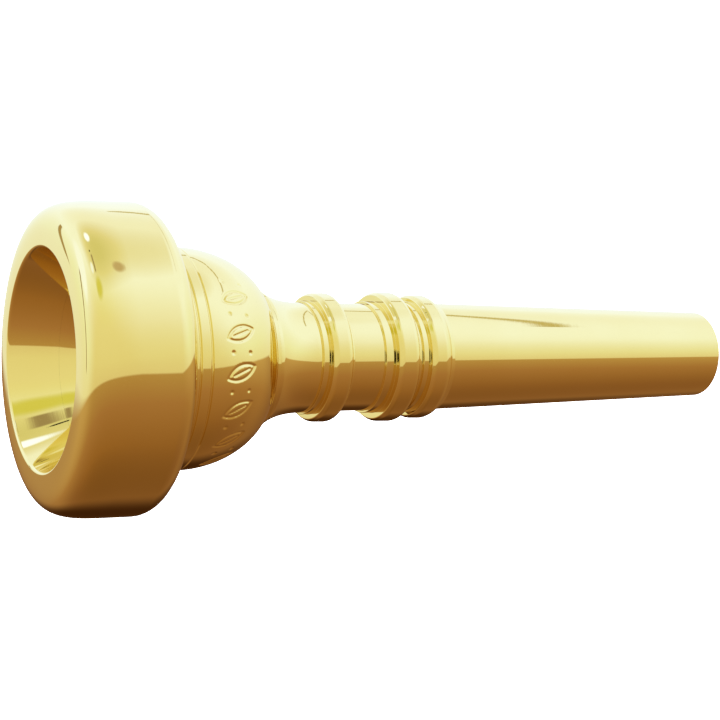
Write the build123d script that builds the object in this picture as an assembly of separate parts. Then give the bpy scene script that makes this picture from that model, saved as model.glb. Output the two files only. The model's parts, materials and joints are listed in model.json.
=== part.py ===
"""Brass cornet mouthpiece of the screw-rim kind: rim, cup and backbore turned as three pieces, with two seals.

Every piece is a body of revolution. Outlines are drawn in the XY plane, with X the station along the axis,
counted from the plane of the rim's crest towards the shank's end, and Y the radius. The finished pieces are
then laid on their side, so that the rim's barrel and the end of the shank rest on z = 0.
"""
from build123d import *
import math
import os

# ---------------------------------------------------------------- driving dimensions, mm
LENGTH = 68.45                 # crest of the rim to the end of the shank

# rim
RIM_RADIUS = 13.5
RIM_END = 9.4                  # station of the rim's flat rear face
RIM_CORNER = 1.9               # rounding between barrel and rear face
CREST_RADIUS = 9.65            # the foremost circle
OUTER_PULL = 12.2              # how far the front face stays flat before it rounds over
BARREL_START = (4.1, 13.47)    # end of the outer rounding, start of the barrel
BITE = (0.25, 9.4)             # end of the small rounding inside the crest
BITE_SLOPE = -0.384            # slope of the wall just behind it, 21 degrees to the axis

# rim to cup joint: M19 x 1, the threads drawn as plain cylinders at their major radius
RIM_THREAD_RADIUS = 9.5
THREAD_CLEARANCE = 0.1         # radial, between the two parts of a thread
INNER_SEAM = (4.2, 7.65)       # where the rim's inner wall hands over to the cup's
SEAM_SLOPE = -0.488            # slope of that wall at the seam, 26 degrees to the axis
SEAM_GAP = 0.05                # the rim seats on the collar, so its inner lip stays just clear
RIM_THREAD_END = 8.85          # the run-out groove starts here
RUN_OUT_DEPTH = 0.6

# cup
COLLAR_RADIUS = 10.05
COLLAR_STEP = 10.55            # end of the first land behind the rim
STRAP_RADIUS = 9.88
STRAP_END = 11.65              # end of the second land, start of the bowl
BOWL_RADIUS = 9.72
SCORE_DEPTH = 0.14             # turned lines that part the lands
SCORE_HALF = 0.16
CUP_END = 19.1                 # station of the cup's rear face
CUP_END_RADIUS = 6.55
BOWL_FLOOR = (11.0, 2.7)       # inside, where the bowl turns into the throat
THROAT_START = 12.3
THROAT_RADIUS = 1.83

# cup to backbore joint: M9 x 0.75
STEM_THREAD_RADIUS = 4.5
STEM_FACE = 13.25              # front face of the backbore's spigot
STEM_FACE_GAP = 0.05
STEM_GROOVE = (17.85, 18.85)   # the seal's groove
STEM_GROOVE_RADIUS = 3.6

# neck, beads and shank
FLANGE_RADIUS = 6.2
NECK_RADIUS = 4.97
NECK_START = 19.9
NECK_END = 24.15
TUBE_RADIUS = 4.9
BEAD_STEP = 0.22               # height of the low step at a bead's feet
BEAD_WALL = 0.35               # from the bead's second step to its crest
SHANK_RADIUS = 4.96            # at the shank's large end
# (front foot, crest from, crest to, rear foot, crest radius, radius behind the bead)
BEADS = [
    (24.15, 25.2, 26.4, 27.25, 5.88, TUBE_RADIUS),
    (30.35, 31.7, 33.05, 33.9, 5.97, TUBE_RADIUS),
    (34.2, 35.2, 36.3, 37.4, 5.76, SHANK_RADIUS),
]
SHANK_TAPER = 1 / 20           # on diameter
SHANK_ROUNDING = 0.25
BACKBORE_START = 15.15
BACKBORE_END_RADIUS = 3.5

# seals: round cord, drawn at its fitted size
SEAL_CLEARANCE = 0.04
RIM_SEAL_CORD = 0.45           # radius of the cord
RIM_SEAL_RADIUS = 9.05         # radius of the ring's centre line
STEM_SEAL_CORD = 0.43
STEM_SEAL_RADIUS = 4.09

# ---------------------------------------------------------------- derived dimensions
SHANK_START = BEADS[2][3]
SHANK_END_RADIUS = SHANK_RADIUS - (LENGTH - SHANK_START) * SHANK_TAPER / 2
CORNER_STATION = RIM_END - RIM_CORNER
CORNER_RADIUS = RIM_RADIUS - RIM_CORNER
END_STATION = LENGTH - SHANK_ROUNDING
END_RADIUS = SHANK_END_RADIUS - SHANK_ROUNDING

# The floor touches the rounding of the rim's rear corner and that of the shank's end,
# so the tilt is that of the line that is tangent to both circles.
run = END_STATION - CORNER_STATION
drop = CORNER_RADIUS - END_RADIUS
TILT = math.atan2(drop, run) + math.asin((RIM_CORNER - SHANK_ROUNDING) / math.hypot(run, drop))
AXIS_HEIGHT = CORNER_STATION * math.sin(TILT) + CORNER_RADIUS * math.cos(TILT) + RIM_CORNER


def corners(*points):
    """Straight runs through (station, radius, rounding) points; the first and last have no rounding."""
    places = [(station, radius) for station, radius, _ in points]
    roundings = [rounding for _, _, rounding in points[1:-1]]
    return FilletPolyline(*places, radius=roundings)


def turned(*edges):
    """The solid that a closed outline in the XY plane sweeps about the X axis."""
    outline = Wire([edge for part in edges for edge in part.edges()])
    return revolve(Face(outline), axis=Axis.X, revolution_arc=360)


def rim():
    crest = (0, CREST_RADIUS)
    crown = math.atan2(RIM_RADIUS - BARREL_START[1], CORNER_STATION - BARREL_START[0])
    slope = math.tan(2 * crown)
    outer_rounding = Bezier(
        crest, (0, OUTER_PULL), (0.06, BARREL_START[1] - (BARREL_START[0] - 0.06) * slope), BARREL_START)
    barrel = TangentArc(BARREL_START, (CORNER_STATION, RIM_RADIUS), tangent=(1, slope))
    corner = RadiusArc((CORNER_STATION, RIM_RADIUS), (RIM_END, CORNER_RADIUS), RIM_CORNER)
    bore = RIM_THREAD_RADIUS + THREAD_CLEARANCE
    groove_floor = INNER_SEAM[0] - 2 * RIM_SEAL_CORD - SEAL_CLEARANCE
    groove_wall = RIM_SEAL_RADIUS - RIM_SEAL_CORD - SEAL_CLEARANCE
    back = corners(
        (RIM_END, CORNER_RADIUS, 0),
        (RIM_END, bore + 0.3, 0.1),
        (RIM_END - 0.3, bore, 0.1),
        (groove_floor, bore, 0.2),
        (groove_floor, groove_wall, 0.2),
        (INNER_SEAM[0], groove_wall, 0.1),
        (INNER_SEAM[0], INNER_SEAM[1], 0),
    )
    third = (INNER_SEAM[0] - BITE[0]) / 3
    wall = Bezier(
        INNER_SEAM, (INNER_SEAM[0] - third, INNER_SEAM[1] - third * SEAM_SLOPE),
        (BITE[0] + third, BITE[1] + third * BITE_SLOPE), BITE)
    bite = Bezier(BITE, (0.09, BITE[1] - 0.16 * BITE_SLOPE), (0, 9.56), crest)
    return turned(outer_rounding, barrel, corner, back, wall, bite)


def cup():
    front = INNER_SEAM[0] + SEAM_GAP
    front_wall = INNER_SEAM[1] + SEAM_GAP * SEAM_SLOPE
    root = RIM_THREAD_RADIUS - RUN_OUT_DEPTH
    spigot = corners(
        (front, front_wall, 0),
        (front, RIM_THREAD_RADIUS - 0.3, 0.1),
        (front + 0.3, RIM_THREAD_RADIUS, 0.1),
        (RIM_THREAD_END, RIM_THREAD_RADIUS, 0.05),
        (RIM_THREAD_END, root, 0.15),
        (RIM_END, root, 0.15),
        (RIM_END, COLLAR_RADIUS, 0.12),
        (COLLAR_STEP - SCORE_HALF, COLLAR_RADIUS, 0.1),
        (COLLAR_STEP, STRAP_RADIUS - SCORE_DEPTH, 0.08),
        (COLLAR_STEP + SCORE_HALF, STRAP_RADIUS, 0.1),
        (STRAP_END - SCORE_HALF, STRAP_RADIUS, 0.1),
        (STRAP_END, BOWL_RADIUS - SCORE_DEPTH, 0.08),
        (STRAP_END + SCORE_HALF, BOWL_RADIUS, 0),
    )
    bowl = Bezier(
        (STRAP_END + SCORE_HALF, BOWL_RADIUS), (15.05, BOWL_RADIUS + 0.04),
        (17.95, 8.25), (CUP_END - 0.12, CUP_END_RADIUS))
    socket_radius = STEM_THREAD_RADIUS + THREAD_CLEARANCE
    socket = corners(
        (CUP_END - 0.12, CUP_END_RADIUS, 0),
        (CUP_END, CUP_END_RADIUS - 0.12, 0.05),
        (CUP_END, socket_radius + 0.2, 0.05),
        (CUP_END - 0.2, socket_radius, 0.05),
        (STEM_FACE - STEM_FACE_GAP, socket_radius, 0.2),
        (STEM_FACE - STEM_FACE_GAP, THROAT_RADIUS, 0),
    )
    throat = Line((STEM_FACE - STEM_FACE_GAP, THROAT_RADIUS), (THROAT_START, THROAT_RADIUS))
    shoulder = Bezier((THROAT_START, THROAT_RADIUS), (11.6, THROAT_RADIUS), (11.21, 2.1), BOWL_FLOOR)
    inside = Bezier(
        BOWL_FLOOR, (9.88, 5.9), (front + 2.4, front_wall + 2.4 * SEAM_SLOPE), (front, front_wall))
    return turned(spigot, bowl, socket, throat, shoulder, inside)


def bead(front, crest_from, crest_to, rear, crest, rear_radius):
    """Corner points of one bead: two square steps in front, a rounded crest and a low foot behind."""
    step = TUBE_RADIUS + BEAD_STEP
    wall = crest_from - BEAD_WALL
    foot = step + 0.04 if rear_radius > TUBE_RADIUS else step - 0.1
    return [
        (front, TUBE_RADIUS, 0.03),
        (front, step, 0.05),
        (wall, step, 0.03),
        (wall, crest - 0.3, 0.12),
        (crest_from, crest - 0.06, 0.5),
        (crest_to, crest - 0.03, 0.8),
        (crest_to + 0.4, crest - 0.18, 0.4),
        (rear - 0.4, foot + 0.1, 0.2),
        (rear, foot, 0.04),
        (rear, rear_radius, 0.03),
    ]


def backbore():
    spigot = corners(
        (STEM_FACE, THROAT_RADIUS, 0),
        (STEM_FACE, STEM_THREAD_RADIUS - 0.4, 0.1),
        (STEM_FACE + 0.4, STEM_THREAD_RADIUS, 0.1),
        (STEM_GROOVE[0], STEM_THREAD_RADIUS, 0.1),
        (STEM_GROOVE[0], STEM_GROOVE_RADIUS, 0.15),
        (STEM_GROOVE[1], STEM_GROOVE_RADIUS, 0.15),
        (STEM_GROOVE[1], STEM_THREAD_RADIUS, 0.05),
        (CUP_END, STEM_THREAD_RADIUS, 0.05),
        (CUP_END, FLANGE_RADIUS, 0.03),
        (CUP_END + 0.45, FLANGE_RADIUS, 0.05),
        (CUP_END + 0.45, FLANGE_RADIUS - 0.22, 0.03),
        (NECK_START, FLANGE_RADIUS - 0.25, 0),
    )
    flare = Bezier(
        (NECK_START, FLANGE_RADIUS - 0.25), (20.7, 5.45), (22.05, NECK_RADIUS),
        (NECK_END - 0.2, NECK_RADIUS))
    beads = [(NECK_END - 0.2, NECK_RADIUS, 0)]
    for sizes in BEADS:
        beads += bead(*sizes)
    beads += [
        (LENGTH, SHANK_END_RADIUS, SHANK_ROUNDING),
        (LENGTH, BACKBORE_END_RADIUS, 0),
    ]
    end = Bezier(
        (LENGTH, BACKBORE_END_RADIUS), (46, 3.2), (27, 2.5), (BACKBORE_START, THROAT_RADIUS))
    throat = Line((BACKBORE_START, THROAT_RADIUS), (STEM_FACE, THROAT_RADIUS))
    return turned(spigot, flare, corners(*beads), end, throat)


def seal(station, radius, cord):
    section = Pos(station, radius) * Circle(cord)
    return revolve(section, axis=Axis.X, revolution_arc=360)


def rim_seal_ring():
    return seal(INNER_SEAM[0] - RIM_SEAL_CORD, RIM_SEAL_RADIUS, RIM_SEAL_CORD)


def backbore_seal_ring():
    return seal(sum(STEM_GROOVE) / 2, STEM_SEAL_RADIUS, STEM_SEAL_CORD)


def main():
    pieces = {
        "rim": rim(),
        "rim_seal_ring": rim_seal_ring(),
        "cup": cup(),
        "backbore_seal_ring": backbore_seal_ring(),
        "backbore": backbore(),
    }
    lying = Location((0, 0, AXIS_HEIGHT), (0, math.degrees(TILT), 0))
    laid = {name: lying * piece for name, piece in pieces.items()}
    box = Compound(list(laid.values())).bounding_box()
    centring = Pos(-(box.min.X + box.max.X) / 2, 0, 0)
    os.makedirs("parts", exist_ok=True)
    for name, piece in laid.items():
        export_step(centring * piece, f"parts/{name}.step")
    print("tilt", math.degrees(TILT), "crest centre", centring.position.X, AXIS_HEIGHT)
    print("shank end radius", SHANK_END_RADIUS, "box", box.min, box.max)


main()
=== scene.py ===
"""Looks of a brass cornet mouthpiece of the screw-rim kind.

Every piece is turned: its outline is a chain of (station, radius) points in millimetres. The station is
counted along the axis from the plane of the rim's crest, and the chain is swept about the axis that the
rim's screw joint gives. Screw threads and the engraving are then worked into the swept surface.
"""
import json
import math

import bpy
import numpy as np
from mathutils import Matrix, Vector


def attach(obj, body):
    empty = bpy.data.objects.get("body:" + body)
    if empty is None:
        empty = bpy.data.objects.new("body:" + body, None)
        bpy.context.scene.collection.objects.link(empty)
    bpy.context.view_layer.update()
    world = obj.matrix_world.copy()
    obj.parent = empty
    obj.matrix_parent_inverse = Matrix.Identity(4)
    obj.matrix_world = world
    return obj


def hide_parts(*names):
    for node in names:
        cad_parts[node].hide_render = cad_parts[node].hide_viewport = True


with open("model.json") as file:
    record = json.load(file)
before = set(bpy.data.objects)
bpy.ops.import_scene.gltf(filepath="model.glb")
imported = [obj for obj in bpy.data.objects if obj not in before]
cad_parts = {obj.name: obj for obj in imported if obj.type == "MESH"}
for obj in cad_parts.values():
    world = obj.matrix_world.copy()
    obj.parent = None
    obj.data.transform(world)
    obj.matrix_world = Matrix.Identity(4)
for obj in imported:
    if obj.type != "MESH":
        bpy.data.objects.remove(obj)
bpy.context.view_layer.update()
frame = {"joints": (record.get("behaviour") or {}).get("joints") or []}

MM = 0.001

# ---------------------------------------------------------------- driving dimensions, mm
LENGTH = 68.45
RIM_RADIUS = 13.5
RIM_END = 9.4
RIM_CORNER = 1.9
CREST = (0, 9.65)
OUTER_PULL = 12.2
BARREL_START = (4.1, 13.47)
BITE = (0.25, 9.4)
BITE_SLOPE = -0.384
INNER_SEAM = (4.2, 7.65)
SEAM_SLOPE = -0.488
SEAM_GAP = 0.005
RIM_THREAD_RADIUS = 9.5
RIM_THREAD_END = 8.85
RIM_LEAD = 1.0
RIM_RIDGE = 0.5                 # how far the female thread stands out from its bore
THREAD_CLEARANCE = 0.1
THREAD_FLAT = 0.2               # share of the lead that the root's flat takes, and the crest's too
THREAD_FLANK = 0.6              # share that the two flanks take together
RIDGE_FADE = 0.3                # a female thread fades over this length at both ends
RUN_OUT_DEPTH = 0.6
COLLAR_RADIUS = 10.05
COLLAR_STEP = 10.55
STRAP_RADIUS = 9.88
STRAP_END = 11.65
BOWL_RADIUS = 9.72
SCORE_DEPTH = 0.14
SCORE_HALF = 0.16
CUP_END = 19.1
CUP_END_RADIUS = 6.55
BOWL_FLOOR = (11.0, 2.7)
THROAT_START = 12.3
THROAT_RADIUS = 1.83
STEM_THREAD_RADIUS = 4.5
STEM_LEAD = 0.75
STEM_CUT = 0.46                 # depth of the male thread
STEM_RIDGE = 0.38
STEM_FACE = 13.25
STEM_FACE_GAP = 0.05
STEM_GROOVE = (17.85, 18.85)
STEM_GROOVE_RADIUS = 3.6
FLANGE_RADIUS = 6.2
NECK_RADIUS = 4.97
NECK_START = 19.9
NECK_END = 23.95
TUBE_RADIUS = 4.9
BEAD_STEP = 0.22
BEAD_WALL = 0.35
SHANK_RADIUS = 4.96
# front foot, crest from, crest to, rear foot, crest radius, radius behind the bead
BEADS = [
    (24.15, 25.2, 26.4, 27.25, 5.88, TUBE_RADIUS),
    (30.35, 31.7, 33.05, 33.9, 5.97, TUBE_RADIUS),
    (34.2, 35.2, 36.3, 37.4, 5.76, SHANK_RADIUS),
]
SHANK_START = BEADS[2][3]
SHANK_TAPER = 1 / 20
SHANK_END_RADIUS = SHANK_RADIUS - (LENGTH - SHANK_START) * SHANK_TAPER / 2
SHANK_ROUNDING = 0.25
BACKBORE_START = 15.15
BACKBORE_END_RADIUS = 3.5
SEAL_CLEARANCE = 0.04
RIM_SEAL_CORD = 0.45
RIM_SEAL_RADIUS = 9.05
STEM_SEAL_CORD = 0.43
STEM_SEAL_RADIUS = 4.09

# engraved border of leaves and dots on the bowl
ORNAMENT_BAND = (12.75, 16.15)
ORNAMENT_CENTRE = 14.45
ORNAMENT_START = math.radians(29)      # turn from the top, towards -Y
LEAF_PITCH = math.radians(20)
LEAF_COUNT = 8
LEAF_LENGTH = 2.75
LEAF_WIDTH = 1.2
LEAF_TILT = math.radians(22)
DOT_RADIUS = 0.2
DOT_OFFSET = 0.85
VEIN_HALF_LENGTH = 0.3 * LEAF_LENGTH
VEIN_HALF = 0.1
GROOVE_DEPTH = 0.11
GROOVE_HALF = 0.15

# points around the axis: the engraved part of the cup has many more than the rest of it
RIM_TURNS = 480
CUP_TURNS = (310, 130)
BACKBORE_TURNS = 256
SEAL_TURNS = 180
SEAL_SECTION = 32
SHARP_BEND = math.radians(38)          # outline corners that bend more than this keep an edge

# ---------------------------------------------------------------- the axis, from the rim's screw joint
JOINTS = {joint["name"]: joint for joint in frame["joints"]}
AXIS = -Vector(JOINTS["rim_turn"]["axis"]).normalized()
CREST_CENTRE = Vector(JOINTS["rim_turn"]["pos_m"])
SIDE = Vector((0, 1, 0))
UP = SIDE.cross(AXIS)
UP = UP if UP.z > 0 else -UP


# ---------------------------------------------------------------- outlines
def bezier(start, pull_start, pull_end, end, spacing=0.25):
    """Points along a cubic curve, about evenly spaced."""
    control = np.array([start, pull_start, pull_end, end], float)
    steps = max(8, round(np.linalg.norm(np.diff(control, axis=0), axis=1).sum() / spacing))
    t = np.linspace(0, 1, steps + 1)[:, None]
    weights = np.hstack([(1 - t) ** 3, 3 * (1 - t) ** 2 * t, 3 * (1 - t) * t ** 2, t ** 3])
    return weights @ control


def arc(centre, radius, start, end, turn_step=0.2):
    """Points along the arc from one point to another, the short way round."""
    centre = np.array(centre, float)
    angles = [math.atan2(*(np.array(point) - centre)[::-1]) for point in (start, end)]
    turn = (angles[1] - angles[0] + math.pi) % (2 * math.pi) - math.pi
    steps = max(3, math.ceil(abs(turn) / turn_step))
    along = angles[0] + turn * np.linspace(0, 1, steps + 1)
    return centre + radius * np.column_stack([np.cos(along), np.sin(along)])


def tangent_arc(start, end, slope, turn_step=0.02):
    """The arc that leaves its start with the given slope."""
    start, end = np.array(start, float), np.array(end, float)
    normal = np.array([-slope, 1]) / math.hypot(slope, 1)
    chord = end - start
    reach = chord @ chord / (2 * chord @ normal)
    return arc(start + normal * reach, abs(reach), start, end, turn_step)


def corners(*points):
    """Straight runs through (station, radius, rounding) points; the first and last have no rounding."""
    out = [np.array([points[0][:2]], float)]
    for before, here, after in zip(points, points[1:], points[2:]):
        a, b, c = (np.array(point[:2], float) for point in (before, here, after))
        to_a, to_c = (a - b) / np.linalg.norm(a - b), (c - b) / np.linalg.norm(c - b)
        opening = math.acos(np.clip(to_a @ to_c, -1, 1))
        if here[2] == 0:
            out.append(b[None])
            continue
        leg = here[2] / math.tan(opening / 2)
        middle = (to_a + to_c) / np.linalg.norm(to_a + to_c)
        centre = b + middle * here[2] / math.sin(opening / 2)
        out.append(arc(centre, here[2], b + to_a * leg, b + to_c * leg))
    out.append(np.array([points[-1][:2]], float))
    return np.vstack(out)


def thinned(outline, start, end, every):
    """Every few points of an outline, but all of them between two stations."""
    kept = [k for k, (station, _) in enumerate(outline) if start < station < end or k % every == 0]
    if kept[-1] != len(outline) - 1:
        kept.append(len(outline) - 1)
    return outline[kept]


def rim_outline():
    corner_station = RIM_END - RIM_CORNER
    crown = math.atan2(RIM_RADIUS - BARREL_START[1], corner_station - BARREL_START[0])
    slope = math.tan(2 * crown)
    bore = RIM_THREAD_RADIUS + THREAD_CLEARANCE
    groove_floor = INNER_SEAM[0] - 2 * RIM_SEAL_CORD - SEAL_CLEARANCE
    groove_wall = RIM_SEAL_RADIUS - RIM_SEAL_CORD - SEAL_CLEARANCE
    pull = (0.06, BARREL_START[1] - (BARREL_START[0] - 0.06) * slope)
    third = (INNER_SEAM[0] - BITE[0]) / 3
    seam_pull = (INNER_SEAM[0] - third, INNER_SEAM[1] - third * SEAM_SLOPE)
    bite_pull = (BITE[0] + third, BITE[1] + third * BITE_SLOPE)
    return np.vstack([
        bezier(CREST, (0, OUTER_PULL), pull, BARREL_START, 0.14),
        tangent_arc(BARREL_START, (corner_station, RIM_RADIUS), slope),
        corners(
            (corner_station, RIM_RADIUS, 0),
            (RIM_END, RIM_RADIUS, RIM_CORNER - 1e-6),       # a hair less, to start past the point above
            (RIM_END, bore + 0.3, 0.1),
            (RIM_END - 0.3, bore, 0.1),
            (groove_floor, bore, 0.2),
            (groove_floor, groove_wall, 0.2),
            (INNER_SEAM[0], groove_wall, 0.1),
            (*INNER_SEAM, 0),
        ),
        bezier(INNER_SEAM, seam_pull, bite_pull, BITE),
        bezier(BITE, (0.09, BITE[1] - 0.16 * BITE_SLOPE), (0, 9.56), CREST),
    ])


def cup_outline():
    front = INNER_SEAM[0] + SEAM_GAP
    front_wall = INNER_SEAM[1] + SEAM_GAP * SEAM_SLOPE
    root = RIM_THREAD_RADIUS - RUN_OUT_DEPTH
    socket = STEM_THREAD_RADIUS + THREAD_CLEARANCE
    throat_end = STEM_FACE - STEM_FACE_GAP
    bowl_start = (STRAP_END + SCORE_HALF, BOWL_RADIUS)
    bowl_end = (CUP_END - 0.12, CUP_END_RADIUS)
    bowl = bezier(bowl_start, (15.05, BOWL_RADIUS + 0.04), (17.95, 8.25), bowl_end, 0.08)
    return np.vstack([
        corners(
            (front, front_wall, 0),
            (front, RIM_THREAD_RADIUS - 0.3, 0.1),
            (front + 0.3, RIM_THREAD_RADIUS, 0.1),
            (RIM_THREAD_END, RIM_THREAD_RADIUS, 0.05),
            (RIM_THREAD_END, root, 0.15),
            (RIM_END, root, 0.15),
            (RIM_END, COLLAR_RADIUS, 0.12),
            (COLLAR_STEP - SCORE_HALF, COLLAR_RADIUS, 0.1),
            (COLLAR_STEP, STRAP_RADIUS - SCORE_DEPTH, 0.08),
            (COLLAR_STEP + SCORE_HALF, STRAP_RADIUS, 0.1),
            (STRAP_END - SCORE_HALF, STRAP_RADIUS, 0.1),
            (STRAP_END, BOWL_RADIUS - SCORE_DEPTH, 0.08),
            (*bowl_start, 0),
        ),
        thinned(bowl, *ORNAMENT_BAND, 3),
        corners(
            (*bowl_end, 0),
            (CUP_END, CUP_END_RADIUS - 0.12, 0.05),
            (CUP_END, socket + 0.2, 0.05),
            (CUP_END - 0.2, socket, 0.05),
            (throat_end, socket, 0.2),
            (throat_end, THROAT_RADIUS, 0),
        ),
        bezier((THROAT_START, THROAT_RADIUS), (11.6, THROAT_RADIUS), (11.21, 2.1), BOWL_FLOOR),
        bezier(BOWL_FLOOR, (9.88, 5.9), (front + 2.4, front_wall + 2.4 * SEAM_SLOPE), (front, front_wall)),
    ])


def bead(front, crest_from, crest_to, rear, crest, rear_radius):
    """Corner points of one bead: two square steps in front, a rounded crest and a low foot behind."""
    step = TUBE_RADIUS + BEAD_STEP
    wall = crest_from - BEAD_WALL
    foot = step + 0.04 if rear_radius > TUBE_RADIUS else step - 0.1
    return [
        (front, TUBE_RADIUS, 0.03),
        (front, step, 0.05),
        (wall, step, 0.03),
        (wall, crest - 0.3, 0.12),
        (crest_from, crest - 0.06, 0.5),
        (crest_to, crest - 0.03, 0.8),
        (crest_to + 0.4, crest - 0.18, 0.4),
        (rear - 0.4, foot + 0.1, 0.2),
        (rear, foot, 0.04),
        (rear, rear_radius, 0.03),
    ]


def backbore_outline():
    neck_start = (NECK_START, FLANGE_RADIUS - 0.25)
    neck_end = (NECK_END, NECK_RADIUS)
    bead_points = [point for sizes in BEADS for point in bead(*sizes)]
    return np.vstack([
        corners(
            (STEM_FACE, THROAT_RADIUS, 0),
            (STEM_FACE, STEM_THREAD_RADIUS - 0.4, 0.1),
            (STEM_FACE + 0.4, STEM_THREAD_RADIUS, 0.1),
            (STEM_GROOVE[0], STEM_THREAD_RADIUS, 0.1),
            (STEM_GROOVE[0], STEM_GROOVE_RADIUS, 0.15),
            (STEM_GROOVE[1], STEM_GROOVE_RADIUS, 0.15),
            (STEM_GROOVE[1], STEM_THREAD_RADIUS, 0.05),
            (CUP_END, STEM_THREAD_RADIUS, 0.05),
            (CUP_END, FLANGE_RADIUS, 0.03),
            (CUP_END + 0.45, FLANGE_RADIUS, 0.05),
            (CUP_END + 0.45, FLANGE_RADIUS - 0.22, 0.03),
            (*neck_start, 0),
        ),
        bezier(neck_start, (20.7, 5.45), (22.05, NECK_RADIUS), neck_end),
        corners(
            (*neck_end, 0),
            *bead_points,
            (LENGTH, SHANK_END_RADIUS, SHANK_ROUNDING),
            (LENGTH, BACKBORE_END_RADIUS, 0),
        ),
        bezier(
            (LENGTH, BACKBORE_END_RADIUS), (46, 3.2), (27, 2.5), (BACKBORE_START, THROAT_RADIUS), 1.0),
    ])


def seal_outline(station, radius, cord):
    turns = even_turns(SEAL_SECTION)
    return np.column_stack([station + cord * np.cos(turns), radius + cord * np.sin(turns)])


# ---------------------------------------------------------------- threads and engraving
def thread_wave(station, turn, lead):
    """1 on the thread's crest and 0 at its root, along a right-handed helix."""
    place = (station / lead + turn / (2 * math.pi)) % 1
    return np.clip((np.abs(2 * place - 1) - THREAD_FLAT) / THREAD_FLANK, 0, 1)


def refined(outline, start, end, radius, step):
    """The outline with evenly spaced points on its cylinder of the given radius between two stations."""
    out = []
    for here, after in zip(outline, np.roll(outline, -1, axis=0)):
        out.append(here)
        level = abs(here[1] - radius) < 1e-6 and abs(after[1] - radius) < 1e-6
        if level and min(here[0], after[0]) < end and max(here[0], after[0]) > start:
            count = math.ceil(abs(after[0] - here[0]) / step)
            out += [here + (after - here) * k / count for k in range(1, count)]
    return np.array(out)


def male_thread(places, radius, depth, lead, start, end):
    """Cuts a helix into a spigot from its front face to the run-out groove."""
    station, out, turn = places
    inside = (station > start) & (station < end) & (out > radius - depth)
    cut = radius - depth * (1 - thread_wave(station, turn, lead))
    return np.where(inside, np.minimum(out, cut), out)


def female_thread(places, radius, depth, lead, start, end):
    """Raises the matching helix inside a socket, fading at both ends."""
    station, out, turn = places
    fade = np.clip(np.minimum(station - start, end - station) / RIDGE_FADE, 0, 1)
    on_wall = np.abs(out - radius) < 0.02
    return np.where(on_wall, out - depth * fade * (1 - thread_wave(station, turn, lead)), out)


def groove(distance, half=GROOVE_HALF):
    """How deep a cutter goes at some distance from the middle of its cut."""
    return GROOVE_DEPTH * np.clip(1 - (distance / half) ** 2, 0, 1)


def ornament_depth(station, turn):
    """Depth of the engraved border: slanted leaves with a vein, and dots between them."""
    around = (-turn) % (2 * math.pi) - ORNAMENT_START
    inside = (around > 0) & (around < LEAF_COUNT * LEAF_PITCH)
    across = (around % LEAF_PITCH - LEAF_PITCH / 2) * BOWL_RADIUS
    along = station - ORNAMENT_CENTRE
    x = along * math.cos(LEAF_TILT) - across * math.sin(LEAF_TILT)
    y = along * math.sin(LEAF_TILT) + across * math.cos(LEAF_TILT)
    half_length, half_width = LEAF_LENGTH / 2, LEAF_WIDTH / 2
    bow = (half_length ** 2 + half_width ** 2) / (2 * half_width)
    edge = groove(np.abs(np.hypot(x, np.abs(y) + bow - half_width) - bow))
    vein = groove(np.hypot(np.maximum(np.abs(x) - VEIN_HALF_LENGTH, 0), y), VEIN_HALF)
    between = LEAF_PITCH * BOWL_RADIUS / 2 - np.abs(across)
    dots = groove(np.hypot(between, np.abs(along) - DOT_OFFSET), DOT_RADIUS)
    return np.where(inside, np.maximum(np.maximum(edge, vein), dots), 0)


# ---------------------------------------------------------------- turned meshes
def swept(name, outline, turns, shape=None):
    """A closed body of revolution; shape may change the radius of each point."""
    outline = outline[np.linalg.norm(outline - np.roll(outline, -1, axis=0), axis=1) > 1e-4]
    if enclosed_area(outline) < 0:
        outline = outline[::-1]
    station = np.repeat(outline[:, 0][:, None], len(turns), axis=1)
    radius = np.repeat(outline[:, 1][:, None], len(turns), axis=1)
    turn = np.repeat(turns[None, :], len(outline), axis=0)
    if shape is not None:
        radius = shape((station, radius, turn))
    axis, up, side = (np.array(vector) for vector in (AXIS, UP, SIDE))
    radial = np.cos(turn)[..., None] * up + np.sin(turn)[..., None] * side
    points = np.array(CREST_CENTRE) + MM * (station[..., None] * axis + radius[..., None] * radial)
    rows, columns = station.shape
    index = np.arange(rows * columns).reshape(rows, columns)
    below, beside = np.roll(index, -1, axis=0), np.roll(index, -1, axis=1)
    diagonal = np.roll(below, -1, axis=1)
    faces = np.stack([index, beside, diagonal, below], axis=-1).reshape(-1, 4)
    mesh = bpy.data.meshes.new(name)
    mesh.vertices.add(rows * columns)
    mesh.vertices.foreach_set("co", points.reshape(-1))
    mesh.loops.add(faces.size)
    mesh.loops.foreach_set("vertex_index", faces.reshape(-1))
    mesh.polygons.add(len(faces))
    mesh.polygons.foreach_set("loop_start", np.arange(0, faces.size, 4))
    mesh.update()
    mesh.validate()
    piece = bpy.data.objects.new(name, mesh)
    bpy.context.scene.collection.objects.link(piece)
    mesh.shade_smooth()
    mesh.normals_split_custom_set(corner_normals(outline, turns, points))
    return piece


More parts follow.
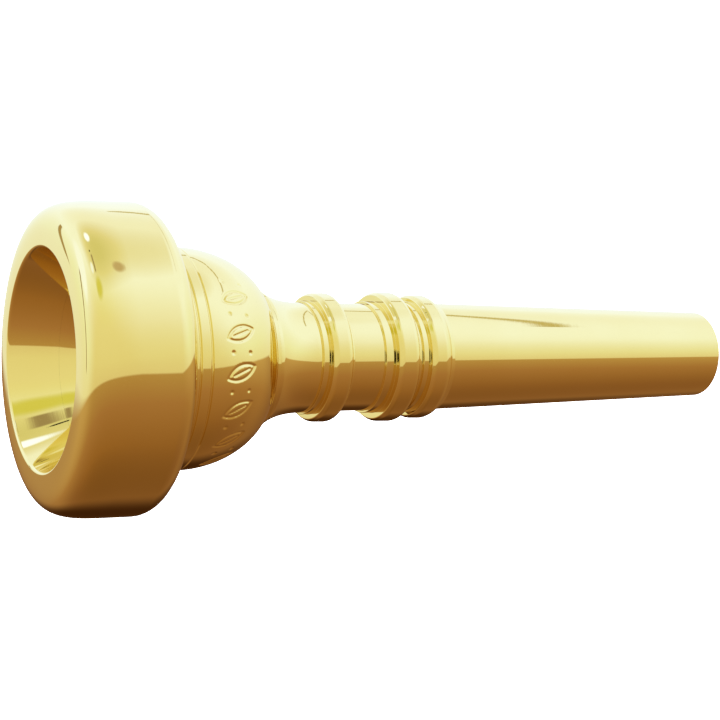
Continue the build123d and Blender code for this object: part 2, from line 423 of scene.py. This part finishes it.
def corner_normals(outline, turns, points):
    """Normals that keep the long, flat faces flat, so that only the roundings between them bend."""
    below, beside = np.roll(points, -1, axis=0), np.roll(points, -1, axis=1)
    diagonal = np.roll(below, -1, axis=1)
    faces = np.cross(diagonal - points, below - beside)
    faces /= np.linalg.norm(faces, axis=2, keepdims=True)
    steps = np.diff(outline, axis=0, append=outline[:1])
    lengths = np.maximum(np.linalg.norm(steps, axis=1), 1e-6)
    widths = np.diff(turns, append=turns[:1] + 2 * math.pi)
    across = faces / widths[None, :, None]
    across = across + np.roll(across, 1, axis=1)
    across /= np.linalg.norm(across, axis=2, keepdims=True)
    along = across * (lengths ** 2)[:, None, None]
    joined = along + np.roll(along, 1, axis=0)
    joined /= np.linalg.norm(joined, axis=2, keepdims=True)
    headings = np.arctan2(steps[:, 1], steps[:, 0])
    bends = np.abs((headings - np.roll(headings, 1) + math.pi) % (2 * math.pi) - math.pi)
    sharp = bends > SHARP_BEND
    sharp = sharp[:, None, None]
    upper = np.where(sharp, across, joined)
    lower = np.roll(np.where(sharp, np.roll(across, 1, axis=0), joined), -1, axis=0)
    corners_of_face = [upper, np.roll(upper, -1, axis=1), np.roll(lower, -1, axis=1), lower]
    return np.stack(corners_of_face, axis=2).reshape(-1, 3)


def enclosed_area(outline):
    """Twice the area inside the outline, negative when it runs clockwise."""
    following = np.roll(outline, -1, axis=0)
    return float((outline[:, 0] * following[:, 1] - outline[:, 1] * following[:, 0]).sum())


def even_turns(count):
    return np.linspace(0, 2 * math.pi, count + 1)[:-1]


def cup_turns(fine, coarse):
    """Turns that are close together under the engraving."""
    start = -ORNAMENT_START - LEAF_COUNT * LEAF_PITCH
    end = -ORNAMENT_START
    return np.concatenate([
        np.linspace(start, end, fine + 1)[:-1],
        np.linspace(end, start + 2 * math.pi, coarse + 1)[:-1],
    ])


# ---------------------------------------------------------------- materials
BRASS_DARK = (0.885, 0.75, 0.32, 1)
BRASS_LIGHT = (0.895, 0.77, 0.345, 1)
BRASS_CLOUDS = 160.0                    # noise scale of the faint stains
BRASS_ROUGHNESS = (0.015, 0.045)
LATHE_LINES = (9000, 60, 60)            # fine along the axis, long around it
LATHE_BUMP = 0.03
LATHE_BUMP_HEIGHT = 0.00002
RUBBER_DARK = (0.012, 0.012, 0.013, 1)
RUBBER_LIGHT = (0.03, 0.029, 0.028, 1)
RUBBER_GRAIN = 3000.0
RUBBER_ROUGHNESS = (0.38, 0.6)


def brass_material():
    material = bpy.data.materials.new("polished_brass")
    material.use_nodes = True
    tree = material.node_tree
    nodes, links = tree.nodes, tree.links
    shader = nodes["Principled BSDF"]
    shader.inputs["Metallic"].default_value = 1.0
    place = nodes.new("ShaderNodeTexCoord")
    along = nodes.new("ShaderNodeMapping")
    along.inputs["Rotation"].default_value = (0, math.atan2(AXIS.z, AXIS.x), 0)
    links.new(place.outputs["Object"], along.inputs["Vector"])
    rings = nodes.new("ShaderNodeMapping")
    rings.inputs["Scale"].default_value = LATHE_LINES
    links.new(along.outputs["Vector"], rings.inputs["Vector"])
    lines = nodes.new("ShaderNodeTexNoise")
    lines.inputs["Scale"].default_value = 1.0
    lines.inputs["Detail"].default_value = 3.0
    links.new(rings.outputs["Vector"], lines.inputs["Vector"])
    clouds = nodes.new("ShaderNodeTexNoise")
    clouds.inputs["Scale"].default_value = BRASS_CLOUDS
    clouds.inputs["Detail"].default_value = 4.0
    links.new(place.outputs["Object"], clouds.inputs["Vector"])
    colour = nodes.new("ShaderNodeValToRGB")
    colour.color_ramp.elements[0].position = 0.3
    colour.color_ramp.elements[0].color = BRASS_DARK
    colour.color_ramp.elements[1].position = 0.7
    colour.color_ramp.elements[1].color = BRASS_LIGHT
    links.new(clouds.outputs["Fac"], colour.inputs["Fac"])
    links.new(colour.outputs["Color"], shader.inputs["Base Color"])
    rough = nodes.new("ShaderNodeMapRange")
    rough.inputs["To Min"].default_value = BRASS_ROUGHNESS[0]
    rough.inputs["To Max"].default_value = BRASS_ROUGHNESS[1]
    links.new(lines.outputs["Fac"], rough.inputs["Value"])
    links.new(rough.outputs["Result"], shader.inputs["Roughness"])
    bump = nodes.new("ShaderNodeBump")
    bump.inputs["Strength"].default_value = LATHE_BUMP
    bump.inputs["Distance"].default_value = LATHE_BUMP_HEIGHT
    links.new(lines.outputs["Fac"], bump.inputs["Height"])
    links.new(bump.outputs["Normal"], shader.inputs["Normal"])
    return material


def rubber_material():
    material = bpy.data.materials.new("seal_rubber")
    material.use_nodes = True
    tree = material.node_tree
    nodes, links = tree.nodes, tree.links
    shader = nodes["Principled BSDF"]
    place = nodes.new("ShaderNodeTexCoord")
    grain = nodes.new("ShaderNodeTexNoise")
    grain.inputs["Scale"].default_value = RUBBER_GRAIN
    grain.inputs["Detail"].default_value = 3.0
    links.new(place.outputs["Object"], grain.inputs["Vector"])
    colour = nodes.new("ShaderNodeValToRGB")
    colour.color_ramp.elements[0].color = RUBBER_DARK
    colour.color_ramp.elements[1].color = RUBBER_LIGHT
    links.new(grain.outputs["Fac"], colour.inputs["Fac"])
    links.new(colour.outputs["Color"], shader.inputs["Base Color"])
    rough = nodes.new("ShaderNodeMapRange")
    rough.inputs["To Min"].default_value = RUBBER_ROUGHNESS[0]
    rough.inputs["To Max"].default_value = RUBBER_ROUGHNESS[1]
    links.new(grain.outputs["Fac"], rough.inputs["Value"])
    links.new(rough.outputs["Result"], shader.inputs["Roughness"])
    return material


# ---------------------------------------------------------------- pieces
brass = brass_material()
rubber = rubber_material()


def finish_piece(piece, material, node, body):
    piece.data.materials.append(material)
    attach(piece, body)
    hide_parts(node)


def build_rim():
    bore = RIM_THREAD_RADIUS + THREAD_CLEARANCE
    outline = refined(rim_outline(), INNER_SEAM[0], RIM_END, bore, RIM_LEAD / 10)

    def shape(places):
        return female_thread(places, bore, RIM_RIDGE, RIM_LEAD, INNER_SEAM[0] + 0.3, RIM_END - 0.15)

    piece = swept("rim_turned", outline, even_turns(RIM_TURNS), shape)
    finish_piece(piece, brass, "rim", "rim")


def build_cup():
    socket = STEM_THREAD_RADIUS + THREAD_CLEARANCE
    outline = refined(cup_outline(), INNER_SEAM[0], RIM_THREAD_END, RIM_THREAD_RADIUS, RIM_LEAD / 8)
    outline = refined(outline, STEM_FACE, CUP_END, socket, STEM_LEAD / 8)

    def shape(places):
        station, radius, turn = places
        on_bowl = radius > BOWL_RADIUS / 2
        radius = np.where(on_bowl, radius - ornament_depth(station, turn), radius)
        places = (station, radius, turn)
        radius = male_thread(
            places, RIM_THREAD_RADIUS, RUN_OUT_DEPTH, RIM_LEAD, INNER_SEAM[0], RIM_THREAD_END)
        places = (station, radius, turn)
        return female_thread(places, socket, STEM_RIDGE, STEM_LEAD, STEM_FACE + 0.2, STEM_GROOVE[0])

    piece = swept("cup_turned", outline, cup_turns(*CUP_TURNS), shape)
    finish_piece(piece, brass, "cup", "cup")


def build_backbore():
    outline = refined(backbore_outline(), STEM_FACE, STEM_GROOVE[0], STEM_THREAD_RADIUS, STEM_LEAD / 8)

    def shape(places):
        return male_thread(places, STEM_THREAD_RADIUS, STEM_CUT, STEM_LEAD, STEM_FACE, STEM_GROOVE[0])

    piece = swept("backbore_turned", outline, even_turns(BACKBORE_TURNS), shape)
    finish_piece(piece, brass, "backbore", "backbore")


def build_seals():
    seals = [
        ("rim_seal_ring", "rim_seal", INNER_SEAM[0] - RIM_SEAL_CORD, RIM_SEAL_RADIUS, RIM_SEAL_CORD),
        ("backbore_seal_ring", "backbore_seal", sum(STEM_GROOVE) / 2, STEM_SEAL_RADIUS, STEM_SEAL_CORD),
    ]
    for node, body, station, radius, cord in seals:
        piece = swept(node + "_moulded", seal_outline(station, radius, cord), even_turns(SEAL_TURNS))
        finish_piece(piece, rubber, node, body)


build_rim()
build_cup()
build_backbore()
build_seals()


# ---------------------------------------------------------------- stage, light and camera
FLOOR_SIZE = 8
FLOOR_WHITE = (0.9, 0.9, 0.9, 1)
FLOOR_ROUGHNESS = 0.9


def build_floor():
    """A floor that bounces light up; neither the camera nor the brass sees it."""
    bpy.ops.mesh.primitive_plane_add(size=FLOOR_SIZE, location=(0, 0, 0))
    floor = bpy.context.object
    floor.name = "floor"
    floor.visible_glossy = False
    floor.visible_camera = False
    material = bpy.data.materials.new("floor")
    material.use_nodes = True
    shader = material.node_tree.nodes["Principled BSDF"]
    shader.inputs["Base Color"].default_value = FLOOR_WHITE
    shader.inputs["Roughness"].default_value = FLOOR_ROUGHNESS
    floor.data.materials.append(material)


# What the brass sees: degrees above the light tent's lower edge and the colour there, at the camera's side,
# across it, and behind the object.
NEAR = [
    (-85, (0.24, 0.105, 0.03)),
    (-50, (0.33, 0.15, 0.045)),
    (-20, (0.415, 0.21, 0.085)),
    (-0.6, (0.50, 0.315, 0.12)),
    (0.6, (0.80, 0.72, 0.46)),
    (12, (0.85, 0.81, 0.52)),
    (35, (0.88, 0.86, 0.58)),
    (60, (0.90, 0.92, 0.56)),
    (75, (0.80, 0.82, 0.40)),
    (90, (0.74, 0.74, 0.42)),
]
ACROSS = [
    (-85, (0.22, 0.095, 0.03)),
    (-50, (0.27, 0.12, 0.045)),
    (-20, (0.42, 0.22, 0.085)),
    (-0.6, (0.6, 0.4, 0.18)),
    (0.6, (0.90, 0.90, 0.72)),
    (12, (0.95, 1.06, 1.0)),
    (35, (1.04, 1.2, 1.6)),
    (60, (1.04, 1.19, 1.6)),
    (75, (0.86, 0.86, 0.62)),
    (90, (0.74, 0.74, 0.42)),
]
BEHIND = [
    (-85, (0.19, 0.075, 0.03)),
    (-55, (0.13, 0.05, 0.02)),
    (-30, (0.16, 0.06, 0.02)),
    (-0.6, (0.30, 0.14, 0.06)),
    (0.6, (0.92, 0.96, 0.9)),
    (12, (1.0, 1.12, 1.3)),
    (35, (1.05, 1.22, 1.7)),
    (60, (0.97, 1.04, 1.1)),
    (75, (0.84, 0.82, 0.68)),
    (90, (0.74, 0.74, 0.42)),
]
# soft round patches, first the dark room below the tent, then lit and shaded spots in its cloth: direction,
# radius and fading edge in degrees, colour
PATCHES = [
    ((0.12, 0.62, -0.77), 2, 30, (0.05, 0.016, 0.004)),
    ((-0.72, 0.5, 0.47), 9, 8, (1.08, 1.25, 1.9)),
    ((-0.29, -0.26, 0.92), 3, 8, (0.74, 0.75, 0.2)),
    ((-0.37, 0.06, 0.93), 2.5, 3, (1.03, 1.2, 1.8)),
    ((0.34, -0.07, 0.94), 2, 3.5, (0.6, 0.49, 0.34)),
    ((-0.07, 0.45, 0.89), 2.5, 3.5, (1.2, 1.45, 2.7)),
    ((-0.21, 0.255, 0.94), 0.7, 0.5, (0.02, 0.015, 0.01)),
]
# seams and folds: a direction on the line and one across it, half width, half length, fading edge, colour
SEAMS = [
    ((0.62, 0.47, 0.63), (1, 0, -1), 0.25, 28, 0.5, (0.62, 0.55, 0.3)),
    ((-0.23, 0.07, 0.97), (0.98, -0.21, 0), 0.5, 6, 2.5, (0.38, 0.31, 0.2)),
    ((-0.76, 0.64, 0.07), (0.64, 0.76, 0), 1.0, 11, 0.8, (0.36, 0.24, 0.1)),
    ((-0.45, 0.89, 0.05), (0.89, 0.45, 0), 0.8, 9, 0.7, (0.45, 0.33, 0.16)),
]
TENT_UP = Vector((0.038, 0.2, 0.98)).normalized()
TENT_EDGE = -5.6                # the edge dips this far below the plane square to TENT_UP, degrees
BACKWARDS = Vector((0.5, 0.866, 0))
# how far BACKWARDS a direction points where one gradient passes into the next
NEAR_TO_ACROSS = (-0.75, 0.15)
ACROSS_TO_BEHIND = (0.3, 1.0)
ROOM_STRENGTH = 2.8             # of the plain white behind the object, which also lights the rubber


class Sky:
    """Builds the world's node tree out of small steps; each returns the socket with its result."""

    # the Mix node has a socket for each kind of data; these are the ones for colours
    MIX_FACTOR = 0
    MIX_FIRST = 6
    MIX_SECOND = 7
    MIX_RESULT = 2

    def __init__(self, tree):
        self.nodes, self.links = tree.nodes, tree.links
        self.place = self.nodes.new("ShaderNodeTexCoord").outputs["Generated"]

    def along(self, direction):
        """How far the view goes along a direction, -1 to 1."""
        node = self.nodes.new("ShaderNodeVectorMath")
        node.operation = "DOT_PRODUCT"
        node.inputs[1].default_value = direction
        self.links.new(self.place, node.inputs[0])
        return node.outputs["Value"]

    def ramped(self, value, start, end, low=0.0, high=1.0):
        """A smooth step between two values."""
        node = self.nodes.new("ShaderNodeMapRange")
        node.interpolation_type = "SMOOTHSTEP"
        for name, number in zip(("From Min", "From Max", "To Min", "To Max"), (start, end, low, high)):
            node.inputs[name].default_value = number
        self.links.new(value, node.inputs["Value"])
        return node.outputs["Result"]

    def gradient(self, value, stops):
        """Colours by height: each stop is an angle above the tent's edge and a colour."""
        node = self.nodes.new("ShaderNodeMapRange")
        node.inputs["From Min"].default_value = -1
        self.links.new(value, node.inputs["Value"])
        ramp = self.nodes.new("ShaderNodeValToRGB")
        places = ramp.color_ramp.elements
        while len(places) < len(stops):
            places.new(0.5)
        for place, (above, colour) in zip(places, stops):
            elevation = min(90, above + TENT_EDGE)
            place.position = (math.sin(math.radians(elevation)) + 1) / 2
            place.color = (*colour, 1)
        self.links.new(node.outputs["Result"], ramp.inputs["Fac"])
        return ramp.outputs["Color"]

    def mixed(self, factor, first, second):
        """second where the factor is 1; it may be a plain colour."""
        node = self.nodes.new("ShaderNodeMix")
        node.data_type = "RGBA"
        self.links.new(factor, node.inputs[self.MIX_FACTOR])
        self.links.new(first, node.inputs[self.MIX_FIRST])
        if isinstance(second, tuple):
            node.inputs[self.MIX_SECOND].default_value = (*second, 1)
        else:
            self.links.new(second, node.inputs[self.MIX_SECOND])
        return node.outputs[self.MIX_RESULT]

    def product(self, first, second):
        """Two values multiplied."""
        node = self.nodes.new("ShaderNodeMath")
        node.operation = "MULTIPLY"
        self.links.new(first, node.inputs[0])
        self.links.new(second, node.inputs[1])
        return node.outputs[0]

    def band(self, direction, half_width, edge):
        """1 on the great circle square to a direction, with soft edges, degrees."""
        node = self.nodes.new("ShaderNodeMath")
        node.operation = "ABSOLUTE"
        self.links.new(self.along(direction), node.inputs[0])
        inner, outer = (math.sin(math.radians(angle)) for angle in (half_width, half_width + edge))
        return self.ramped(node.outputs[0], inner, outer, 1.0, 0.0)

    def spot(self, direction, radius, edge):
        """1 within some degrees of a direction."""
        inner, outer = (math.cos(math.radians(angle)) for angle in (radius, radius + edge))
        return self.ramped(self.along(direction), outer, inner)

    def streak(self, direction, across, half_width, half_length, edge):
        """A short line through a direction; across is square to the line."""
        across = (across - direction * across.dot(direction)).normalized()
        return self.product(
            self.band(across, half_width, edge), self.spot(direction, half_length, edge))


def build_world():
    world = bpy.data.worlds.new("studio")
    bpy.context.scene.world = world
    world.use_nodes = True
    tree = world.node_tree
    nodes, links = tree.nodes, tree.links
    nodes.clear()
    sky = Sky(tree)
    height = sky.along(TENT_UP)
    back = sky.along(BACKWARDS)
    near, across_object, behind = (sky.gradient(height, stops) for stops in (NEAR, ACROSS, BEHIND))
    tent = sky.mixed(sky.ramped(back, *NEAR_TO_ACROSS), near, across_object)
    tent = sky.mixed(sky.ramped(back, *ACROSS_TO_BEHIND), tent, behind)

    for direction, radius, edge, colour in PATCHES:
        tent = sky.mixed(sky.spot(Vector(direction).normalized(), radius, edge), tent, colour)
    for direction, across, half_width, half_length, edge, colour in SEAMS:
        streak = sky.streak(Vector(direction).normalized(), Vector(across), half_width, half_length, edge)
        tent = sky.mixed(streak, tent, colour)

    seen = nodes.new("ShaderNodeBackground")
    links.new(tent, seen.inputs["Color"])
    room = nodes.new("ShaderNodeBackground")
    room.inputs["Color"].default_value = (1, 1, 1, 1)
    room.inputs["Strength"].default_value = ROOM_STRENGTH
    kind = nodes.new("ShaderNodeLightPath")
    mix = nodes.new("ShaderNodeMixShader")
    links.new(kind.outputs["Is Glossy Ray"], mix.inputs["Fac"])
    links.new(room.outputs["Background"], mix.inputs[1])
    links.new(seen.outputs["Background"], mix.inputs[2])
    out = nodes.new("ShaderNodeOutputWorld")
    links.new(mix.outputs["Shader"], out.inputs["Surface"])


# where the camera stands, metres from the crest's centre along the world's axes, and where it looks
CAMERA_FROM_CREST = Vector((-0.03828, -0.13880, 0.05246))
CAMERA_TURN = 26.18
CAMERA_DROP = 20.35
LENS = 90
SENSOR_WIDTH = 36
CLIP_START = 0.001
REFLECTIONS = 24                # light is followed this often between the walls of the bore and the cup
SLIT_HALF_WIDTH = 0.0015
SLIT_REACH = (-0.07, 0.15)      # below and above the lens
SLIT_BEHIND = 0.001
SLIT_COLOUR = (0.01, 0.008, 0.006, 1)
ONCE_REFLECTED = 1.5            # light reflected more often than this meets the slit


def build_camera():
    camera = bpy.data.objects.new("camera", bpy.data.cameras.new("camera"))
    bpy.context.scene.collection.objects.link(camera)
    camera.data.lens = LENS
    camera.data.sensor_width = SENSOR_WIDTH
    camera.data.clip_start = CLIP_START
    camera.location = CREST_CENTRE + CAMERA_FROM_CREST
    camera.rotation_euler = (math.radians(90 - CAMERA_DROP), 0, -math.radians(CAMERA_TURN))
    bpy.context.scene.camera = camera


def build_slit():
    """The narrow dark slit in the tent that the camera looks through; only square corners reflect it."""
    camera = bpy.context.scene.camera
    low, high = SLIT_REACH
    corners_in_camera = [
        (-SLIT_HALF_WIDTH, low, SLIT_BEHIND),
        (SLIT_HALF_WIDTH, low, SLIT_BEHIND),
        (SLIT_HALF_WIDTH, high, SLIT_BEHIND),
        (-SLIT_HALF_WIDTH, high, SLIT_BEHIND),
    ]
    mesh = bpy.data.meshes.new("slit")
    mesh.from_pydata(corners_in_camera, [], [(0, 1, 2, 3)])
    slit = bpy.data.objects.new("slit", mesh)
    bpy.context.scene.collection.objects.link(slit)
    slit.location = camera.location
    slit.rotation_euler = camera.rotation_euler
    slit.visible_camera = False
    slit.visible_diffuse = False
    slit.visible_shadow = False
    material = bpy.data.materials.new("slit")
    material.use_nodes = True
    nodes, links = material.node_tree.nodes, material.node_tree.links
    nodes.clear()
    dark = nodes.new("ShaderNodeEmission")
    dark.inputs["Color"].default_value = SLIT_COLOUR
    clear = nodes.new("ShaderNodeBsdfTransparent")
    path = nodes.new("ShaderNodeLightPath")
    twice = nodes.new("ShaderNodeMath")
    twice.operation = "GREATER_THAN"
    twice.inputs[1].default_value = ONCE_REFLECTED
    links.new(path.outputs["Glossy Depth"], twice.inputs[0])
    mix = nodes.new("ShaderNodeMixShader")
    links.new(twice.outputs[0], mix.inputs["Fac"])
    links.new(clear.outputs["BSDF"], mix.inputs[1])
    links.new(dark.outputs["Emission"], mix.inputs[2])
    out = nodes.new("ShaderNodeOutputMaterial")
    links.new(mix.outputs["Shader"], out.inputs["Surface"])
    mesh.materials.append(material)


build_floor()
build_world()
build_camera()
build_slit()
bpy.context.scene.view_settings.view_transform = "Standard"
bpy.context.scene.cycles.max_bounces = REFLECTIONS
bpy.context.scene.cycles.glossy_bounces = REFLECTIONS
